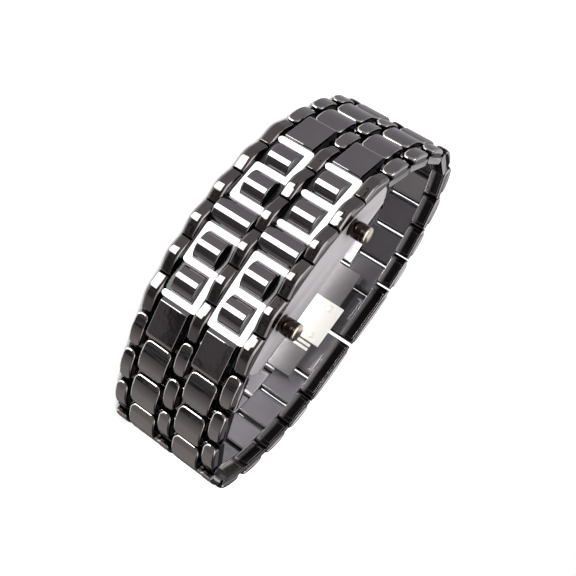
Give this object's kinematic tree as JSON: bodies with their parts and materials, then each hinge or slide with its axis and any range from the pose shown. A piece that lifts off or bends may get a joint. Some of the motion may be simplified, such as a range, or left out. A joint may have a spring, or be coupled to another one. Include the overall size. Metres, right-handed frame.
{
  "type": "digital watch",
  "caption": "Bracelet watch whose scalloped link-like face hides white bar digits, with two round pushers on one edge and a butterfly clasp, lying on its side.",
  "frame": {"origin": "centre of the bounding box at the edge that the watch lies on", "axes": "+X from 12 o'clock to 6 o'clock along the face, -Y out of the face, +Z across the band towards the pushers"},
  "size_m": [0.08, 0.0494, 0.0274],
  "materials": {
    "black_polished_steel": "mirror-polished steel with a black plating",
    "satin_steel": "fine satin",
    "black_acrylic": "smoked gloss",
    "lit_diffuser": "lit white diffuser",
    "dark_diffuser": "unlit smoked diffuser",
    "white_plastic": "moulded white",
    "circuit_board": "solder mask",
    "led_resin": "phosphor resin",
    "black_plastic": "moulded black",
    "seal_rubber": "moulded black rubber",
    "brown_black_steel": "polished brown-black plating",
    "spring_steel": "drawn wire and stamped strip",
    "clasp_steel": "satin strip",
    "bright_steel": "mirror polish"
  },
  "bodies": {
    "case": {"case_body": "satin_steel", "display_frame": "black_polished_steel", "segment_bars": "black_polished_steel", "window": "black_acrylic", "segments_lit": "lit_diffuser", "segments_dark": "dark_diffuser", "reflector_block": "white_plastic", "circuit_board": "circuit_board", "led_chips": "led_resin", "control_chip": "black_plastic", "button_cells": "satin_steel", "cell_tray": "black_plastic", "back_gasket": "seal_rubber", "case_back": "satin_steel", "back_screws": "satin_steel", "pusher_upper_spring": "spring_steel", "pusher_lower_spring": "spring_steel"},
    "upper_pusher": {"pusher_upper": "brown_black_steel", "pusher_upper_seal": "seal_rubber", "pusher_upper_clip": "spring_steel"},
    "lower_pusher": {"pusher_lower": "brown_black_steel", "pusher_lower_seal": "seal_rubber", "pusher_lower_clip": "spring_steel"},
    "link_12_1": {"link_12_1": "black_polished_steel"},
    "link_12_2": {"link_12_2": "black_polished_steel"},
    "link_12_3": {"link_12_3": "black_polished_steel"},
    "link_12_4": {"link_12_4": "black_polished_steel"},
    "link_12_5": {"link_12_5": "black_polished_steel"},
    "link_12_6": {"link_12_6": "black_polished_steel"},
    "link_12_7": {"link_12_7": "black_polished_steel"},
    "link_12_8": {"link_12_8": "black_polished_steel"},
    "link_6_1": {"link_6_1": "black_polished_steel"},
    "link_6_2": {"link_6_2": "black_polished_steel"},
    "link_6_3": {"link_6_3": "black_polished_steel"},
    "link_6_4": {"link_6_4": "black_polished_steel"},
    "link_6_5": {"link_6_5": "black_polished_steel"},
    "link_6_6": {"link_6_6": "black_polished_steel"},
    "link_6_7": {"link_6_7": "black_polished_steel"},
    "link_6_8": {"link_6_8": "black_polished_steel"},
    "cover_12": {"cover_12": "black_polished_steel"},
    "cover_6": {"cover_6": "black_polished_steel"},
    "arm_12": {"arm_12": "clasp_steel"},
    "arm_6": {"arm_6": "clasp_steel"},
    "clasp_base": {"clasp_base": "clasp_steel", "catch_plate": "bright_steel", "catch_rivets": "clasp_steel"}
  },
  "joints": [
    {"name": "upper_pusher_slide", "type": "slide", "parent": "case", "child": "upper_pusher", "axis": [0, 0, 1], "range_m": [-0.0007, 0], "stiffness_N_per_m": 400, "springref_m": 0.0003, "deforming": ["pusher_upper_spring"]},
    {"name": "lower_pusher_slide", "type": "slide", "parent": "case", "child": "lower_pusher", "axis": [0, 0, 1], "range_m": [-0.0007, 0], "stiffness_N_per_m": 400, "springref_m": 0.0003, "deforming": ["pusher_lower_spring"]},
    {"name": "pin_12_1", "type": "hinge", "parent": "case", "child": "link_12_1", "pos_m": [-0.02304, -0.01638, 0.012], "axis": [0, 0, 1], "range_deg": [0, 14.7]},
    {"name": "pin_12_2", "type": "hinge", "parent": "link_12_1", "child": "link_12_2", "pos_m": [-0.02907, -0.01176, 0.012], "axis": [0, 0, 1], "range_deg": [0, 15.01]},
    {"name": "pin_12_3", "type": "hinge", "parent": "link_12_2", "child": "link_12_3", "pos_m": [-0.0342, -0.00615, 0.012], "axis": [0, 0, 1], "range_deg": [0, 17.85]},
    {"name": "pin_12_4", "type": "hinge", "parent": "link_12_3", "child": "link_12_4", "pos_m": [-0.03796, 0.00045, 0.012], "axis": [0, 0, 1], "range_deg": [0, 34.65]},
    {"name": "pin_12_5", "type": "hinge", "parent": "link_12_4", "child": "link_12_5", "pos_m": [-0.03796, 0.00805, 0.012], "axis": [0, 0, 1], "range_deg": [0, 42.2]},
    {"name": "pin_12_6", "type": "hinge", "parent": "link_12_5", "child": "link_12_6", "pos_m": [-0.03336, 0.0141, 0.012], "axis": [0, 0, 1], "range_deg": [0, 22.95]},
    {"name": "pin_12_7", "type": "hinge", "parent": "link_12_6", "child": "link_12_7", "pos_m": [-0.02712, 0.01845, 0.012], "axis": [0, 0, 1], "range_deg": [0, 16.57]},
    {"name": "pin_12_8", "type": "hinge", "parent": "link_12_7", "child": "link_12_8", "pos_m": [-0.02014, 0.02145, 0.012], "axis": [0, 0, 1], "range_deg": [0, 16.49]},
    {"name": "pin_12_cover", "type": "hinge", "parent": "link_12_8", "child": "cover_12", "pos_m": [-0.0127, 0.023, 0.012], "axis": [0, 0, 1], "range_deg": [0, 16.77]},
    {"name": "arm_12_cover_pin", "type": "hinge", "parent": "cover_12", "child": "arm_12", "pos_m": [-0.0021, 0.02065, 0.012], "axis": [0, 0, 1], "range_deg": [0, 100]},
    {"name": "arm_12_base_pin", "type": "hinge", "parent": "arm_12", "child": "clasp_base", "pos_m": [-0.0123, 0.02065, 0.012], "axis": [0, 0, 1], "range_deg": [-61, 0]},
    {"name": "arm_6_base_pin", "type": "hinge", "parent": "clasp_base", "child": "arm_6", "pos_m": [0.0123, 0.02065, 0.012], "axis": [0, 0, -1], "range_deg": [0, 60]},
    {"name": "arm_6_cover_pin", "type": "hinge", "parent": "arm_6", "child": "cover_6", "pos_m": [0.0021, 0.02065, 0.012], "axis": [0, 0, -1], "range_deg": [-101, 0]},
    {"name": "pin_6_cover", "type": "hinge", "parent": "cover_6", "child": "link_6_8", "pos_m": [0.0127, 0.023, 0.012], "axis": [0, 0, 1], "range_deg": [0, 16.77]},
    {"name": "pin_6_8", "type": "hinge", "parent": "link_6_8", "child": "link_6_7", "pos_m": [0.02014, 0.02145, 0.012], "axis": [0, 0, 1], "range_deg": [0, 16.49]},
    {"name": "pin_6_7", "type": "hinge", "parent": "link_6_7", "child": "link_6_6", "pos_m": [0.02712, 0.01845, 0.012], "axis": [0, 0, 1], "range_deg": [0, 16.57]},
    {"name": "pin_6_6", "type": "hinge", "parent": "link_6_6", "child": "link_6_5", "pos_m": [0.03336, 0.0141, 0.012], "axis": [0, 0, 1], "range_deg": [0, 22.95]},
    {"name": "pin_6_5", "type": "hinge", "parent": "link_6_5", "child": "link_6_4", "pos_m": [0.03796, 0.00805, 0.012], "axis": [0, 0, 1], "range_deg": [0, 42.2]},
    {"name": "pin_6_4", "type": "hinge", "parent": "link_6_4", "child": "link_6_3", "pos_m": [0.03796, 0.00045, 0.012], "axis": [0, 0, 1], "range_deg": [0, 34.65]},
    {"name": "pin_6_3", "type": "hinge", "parent": "link_6_3", "child": "link_6_2", "pos_m": [0.0342, -0.00615, 0.012], "axis": [0, 0, 1], "range_deg": [0, 17.85]},
    {"name": "pin_6_2", "type": "hinge", "parent": "link_6_2", "child": "link_6_1", "pos_m": [0.02907, -0.01176, 0.012], "axis": [0, 0, 1], "range_deg": [0, 15.01]}
  ],
  "couplings": [
    {"joint": "arm_12_base_pin", "follows": "arm_12_cover_pin", "ratio": -0.6},
    {"joint": "arm_6_cover_pin", "follows": "arm_6_base_pin", "ratio": -1.6667}
  ]
}
